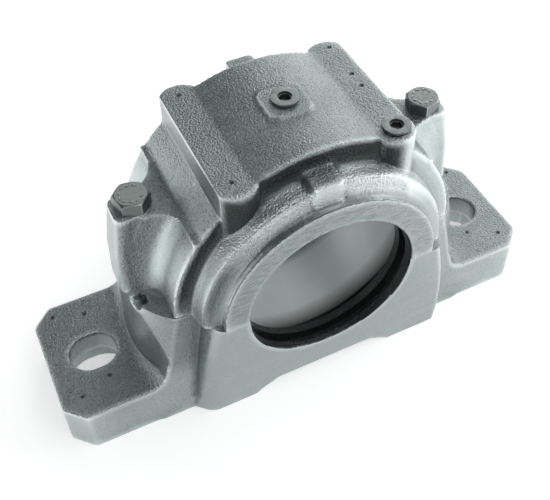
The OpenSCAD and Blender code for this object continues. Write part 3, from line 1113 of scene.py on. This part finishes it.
@dataclass
class CapBolt:
    """Hexagon bolt with a turned-off head and a ring of small raised marks."""

    node: str
    side: int
    turn: float
    bolt_x: float = 72.0
    seat: float = 113.4
    flats: float = 14.5
    head: float = 6.4
    diameter: float = 10.0
    length: float = 65.0
    marks: int = 9
    mark_radius: float = 5.0
    mark_height: float = 0.4
    mark_half: Pair = (0.85, 0.36)
    marks_start: float = 40.0
    marks_sweep: float = 300.0
    mark_turns: Pair = (-0.4, 0.5)
    cone: Pair = (1.9, 0.35)
    overlap: float = 0.4

    def hexagon(self) -> Shape:
        """Make the head: a hexagon whose corners a cone turned off, with soft edges.

        Returns:
            The head.
        """
        wider, narrower = self.cone
        middle = (self.side * self.bolt_x, 0.0, self.seat + self.head / 2)
        prism = round_bar("head", self.flats / 2 / math.cos(math.pi / 6), self.head, (0, 0, 0), Along.UP, 6)
        choose()
        bpy.ops.mesh.primitive_cone_add(
            vertices=96, radius1=(self.flats / 2 + self.head * wider) * MM,
            radius2=(self.flats / 2 - narrower) * MM, depth=self.head * MM
        )
        combine(prism, settle(named("cone")), "INTERSECT")
        soften(prism, 0.22, 2, 25)
        framed(prism, 0.3)
        prism.rotation_euler = (0.0, 0.0, math.radians(self.turn))
        prism.location = [c * MM for c in middle]
        return settle(prism)

    def mark_ring(self) -> list[Shape]:
        """Make the small raised marks on top of the head, with one gap in their ring.

        Returns:
            The marks.
        """
        x, y = self.mark_half
        first = block("mark", (-x, -y, -self.mark_height / 2), (x, y, self.mark_height))
        apply_modifier(first, "BEVEL", width=0.12 * MM, segments=2)
        ring = []
        for i in range(self.marks):
            angle = math.radians(self.turn + self.marks_start + i * self.marks_sweep / self.marks)
            copy = first.copy()
            copy.data = first.data.copy()
            bpy.context.scene.collection.objects.link(copy)
            copy.rotation_euler = (0.0, 0.0, angle + math.pi / 2 + self.mark_turns[i % 2])
            copy.location = (
                (self.side * self.bolt_x + self.mark_radius * math.cos(angle)) * MM,
                self.mark_radius * math.sin(angle) * MM,
                (self.seat + self.head - 0.05) * MM,
            )
            ring.append(settle(copy))
        bpy.data.objects.remove(first)
        return ring

    def build(self) -> Shape:
        """Model the bolt.

        Returns:
            The bolt.
        """
        x = self.side * self.bolt_x
        middle = (x, 0, self.seat - self.length / 2 + self.overlap)
        shank = round_bar("shank", self.diameter / 2, self.length, middle, Along.UP, 48)
        soften(shank, 0.9, 2, 60)
        bolt = join([shank, *self.mark_ring(), self.hexagon()], self.node + "_bolt")
        smooth_shaded(bolt)
        return bolt

    def dress(self, piece: Shape, steel: bpy.types.Material) -> None:
        """Finish the bolt in painted steel."""
        mark_hollows(piece, 0, 40.0)
        finish_piece(piece, steel, "cap_bolts", self.node)


@dataclass
class Plug:
    """Screw plug with a thin flange and a stepped hexagon socket."""

    node: str
    place: Point
    flange: float = 12.6
    flange_height: float = 1.1
    ring_height: float = 0.5
    thread: float = 8.0
    length: float = 8.0
    socket_flats: float = 5.0
    socket_depth: float = 4.0
    step: float = 6.4
    step_depth: float = 1.2
    overlap: float = 0.3

    def build(self) -> Shape:
        """Model the plug.

        Returns:
            The plug.
        """
        x, y, z = self.place
        top = z + self.ring_height + self.flange_height
        low, high = z - self.length, top - self.overlap
        middle = (x, y, top - self.flange_height / 2)
        flange = round_bar("flange", self.flange / 2, self.flange_height, middle, Along.UP)
        stem = round_bar("stem", self.thread / 2, high - low, (x, y, (high + low) / 2), Along.UP, 64)
        combine(flange, stem, "UNION")
        carve(flange, [
            round_bar("socket", self.socket_flats / 2 / math.cos(math.pi / 6), self.socket_depth * 2,
                      (x, y, top), Along.UP, 6),
            round_bar("step", self.step / 2, self.step_depth * 2, (x, y, top), Along.UP, 64),
        ])
        soften(flange, 0.22, 3, 40)
        choose(flange)
        plug = named(self.node + "_plug")
        smooth_shaded(plug)
        return plug

    def dress(self, piece: Shape, steel: bpy.types.Material) -> None:
        """Finish the plug in painted steel."""
        mark_hollows(piece, 0, 40.0)
        finish_piece(piece, steel, "plugs", self.node)


@dataclass
class SealRing:
    """Flat ring with rounded edges under a plug's flange."""

    node: str
    place: Point
    outer: float = 11.6
    inner: float = 8.2
    height: float = 0.5

    def build(self) -> Shape:
        """Model the ring.

        Returns:
            The ring.
        """
        x, y, z = self.place
        middle = (x, y, z + self.height / 2)
        ring = round_bar("ring", self.outer / 2, self.height, middle, Along.UP)
        carve(ring, [round_bar("hole", self.inner / 2, self.height * 3, middle, Along.UP, 64)])
        soften(ring, 0.14, 2, 40)
        choose(ring)
        ring = named(self.node + "_ring")
        smooth_shaded(ring)
        return ring

    def dress(self, piece: Shape, rubber: bpy.types.Material) -> None:
        """Finish the ring in rubber."""
        finish_piece(piece, rubber, "plug_seals", self.node)


# ---- studio ----------------------------------------------------------------------------


@dataclass(frozen=True)
class Softbox:
    """One flat lamp that looks at the object."""

    name: str
    azimuth: float
    height: float
    size: tuple[float, float]
    glow: float
    distance: float = 2.0
    target: Point = (0.0, 0.0, 0.05)

    def build(self) -> None:
        """Hang the lamp round the object, its azimuth from the front over the right."""
        turn, lift = math.radians(self.azimuth), math.radians(self.height)
        away = Vector((math.sin(turn) * math.cos(lift), -math.cos(turn) * math.cos(lift), math.sin(lift)))
        lamp = bpy.data.lights.new(self.name, "AREA")
        lamp.shape = "RECTANGLE"
        lamp.size, lamp.size_y = self.size
        lamp.energy = self.glow * math.pi * self.size[0] * self.size[1]
        stand = bpy.data.objects.new(self.name, lamp)
        stand.location = Vector(self.target) + away * self.distance
        stand.rotation_euler = (-away).to_track_quat("-Z", "Y").to_euler()
        bpy.context.scene.collection.objects.link(stand)


@dataclass
class Studio:
    """Pale floor, soft lamps and the camera at the photograph's angle."""

    azimuth: float = -26.4
    elevation: float = 46.5
    distance: float = 416.6
    across: float = 4.9
    raised: float = 13.3
    focal: float = 840.8
    centre: Pair = (296.3, 204.8)
    image: Pair = (550.0, 500.0)
    look_height: float = 60.0
    sensor: float = 36.0
    sky: float = 0.06
    floor_size: float = 8.0
    floor_drop: float = 0.0002
    far_white: Ramp = (0.4, 1.4, 0.5, 1.0)
    sheen_left: Ramp = (-0.2, -0.1, 0.8, 0.0)
    sheen_right: Ramp = (0.07, 0.19, 0.5, 1.4)
    lamps: list[Softbox] = field(default_factory=lambda: [
        Softbox("right_low", 85.0, 22.0, (1.9, 1.3), 2.7),
        Softbox("right_front", 40.0, 12.0, (1.0, 0.5), 2.2),
        Softbox("back_right", 140.0, 16.0, (1.3, 0.9), 2.3),
        Softbox("back_high", 155.0, 48.0, (1.5, 0.8), 1.25),
        Softbox("back_left", 232.0, 16.0, (1.8, 0.9), 1.6),
        Softbox("left_front", 300.0, 12.0, (1.3, 0.5), 3.0),
        Softbox("front_high", 5.0, 52.0, (1.6, 1.0), 1.9),
        Softbox("right_high", 70.0, 62.0, (1.2, 0.8), 1.2),
        Softbox("top", 0.0, 86.0, (0.8, 0.8), 0.8),
    ])

    def camera(self) -> None:
        """Place the camera where the photograph was taken from."""
        az, el = math.radians(self.azimuth), math.radians(self.elevation)
        back = Vector((math.sin(az) * math.cos(el), -math.cos(az) * math.cos(el), math.sin(el)))
        right = Vector((math.cos(az), math.sin(az), 0.0))
        up = back.cross(right)
        eye = Vector((0.0, 0.0, self.look_height)) + self.across * right + self.raised * up + self.distance * back
        lens = bpy.data.cameras.new("camera")
        lens.sensor_fit = "HORIZONTAL"
        lens.sensor_width = self.sensor
        lens.lens = self.focal / self.image[0] * self.sensor
        lens.shift_x = (self.image[0] / 2 - self.centre[0]) / self.image[0]
        lens.shift_y = (self.centre[1] - self.image[1] / 2) / self.image[0]
        lens.clip_start = 0.01
        stand = bpy.data.objects.new("camera", lens)
        turn = Matrix((right, up, back)).transposed().to_4x4()
        stand.matrix_world = Matrix.Translation(eye * MM) @ turn
        bpy.context.scene.collection.objects.link(stand)
        bpy.context.scene.camera = stand

    def floor(self) -> None:
        """Lay the pale floor, white to the camera and to reflections."""
        choose()
        bpy.ops.mesh.primitive_plane_add(size=self.floor_size, location=(0.0, 0.0, -self.floor_drop))
        floor = settle(named("floor"))
        recipe = Recipe("floor_paper")
        path = recipe.nodes.new("ShaderNodeLightPath")
        x = recipe.axes(recipe.place)[0]
        far = recipe.span(recipe.length(recipe.place), *self.far_white)
        sides = recipe.math("ADD", recipe.span(x, *self.sheen_right), recipe.span(x, *self.sheen_left))
        seen = recipe.product(path.outputs["Is Camera Ray"], far)
        mirrored = recipe.product(path.outputs["Is Glossy Ray"], sides)
        recipe.feed(
            Base_Color=recipe.mix(recipe.noise(30.0, 2.0), (0.88, 0.88, 0.88), (0.9, 0.9, 0.9)),
            Roughness=0.9,
            Emission_Color=(1.0, 1.0, 1.0),
            Emission_Strength=recipe.math("MAXIMUM", seen, mirrored),
        )
        floor.data.materials.append(recipe.material)

    def world(self) -> None:
        """Fill the room with a dim even light, white behind the object."""
        world = bpy.data.worlds.new("room")
        world.use_nodes = True
        tree = world.node_tree
        shade = tree.nodes["Background"]
        shade.inputs["Color"].default_value = (0.95, 0.98, 1.0, 1.0)
        shade.inputs["Strength"].default_value = self.sky
        backdrop = tree.nodes.new("ShaderNodeBackground")
        path, mix = tree.nodes.new("ShaderNodeLightPath"), tree.nodes.new("ShaderNodeMixShader")
        tree.links.new(path.outputs["Is Camera Ray"], mix.inputs["Fac"])
        tree.links.new(shade.outputs["Background"], mix.inputs[1])
        tree.links.new(backdrop.outputs["Background"], mix.inputs[2])
        tree.links.new(mix.outputs["Shader"], tree.nodes["World Output"].inputs["Surface"])
        backdrop.inputs["Color"].default_value = (1.0, 1.0, 1.0, 1.0)
        bpy.context.scene.world = world

    def build(self) -> None:
        """Set up the whole studio."""
        self.camera()
        self.world()
        self.floor()
        for lamp in self.lamps:
            lamp.build()
        bpy.context.scene.view_settings.view_transform = "Standard"


def main() -> None:
    """Build the object piece by piece, then its studio."""
    logging.basicConfig(level=logging.INFO, format="%(name)s: %(message)s")
    paint = CastPaint().build()
    steel = PaintedSteel().build()
    rubber = SealRubber().build()
    ground = GroundSteel().build()
    bare = TurnedIron().build()
    space = BearingSpace()
    for casting in (HousingBase(space=space), HousingCap(space=space)):
        casting.dress(casting.build(), paint, bare)
    for bolt in (CapBolt("cap_bolt_left", -1, 15.0), CapBolt("cap_bolt_right", 1, -17.0)):
        bolt.dress(bolt.build(), steel)
    for plug in (Plug("plug_top", PAD_TOP), Plug("plug_corner", CORNER_TOP)):
        plug.dress(plug.build(), steel)
    for ring in (SealRing("plug_seal_top", PAD_TOP), SealRing("plug_seal_corner", CORNER_TOP)):
        ring.dress(ring.build(), rubber)
    for name in ("dowel_pin_left", "dowel_pin_right"):
        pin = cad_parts[name]
        pin.data.materials.clear()
        pin.data.materials.append(ground)
    Studio().build()


if __name__ == "__main__":
    main()
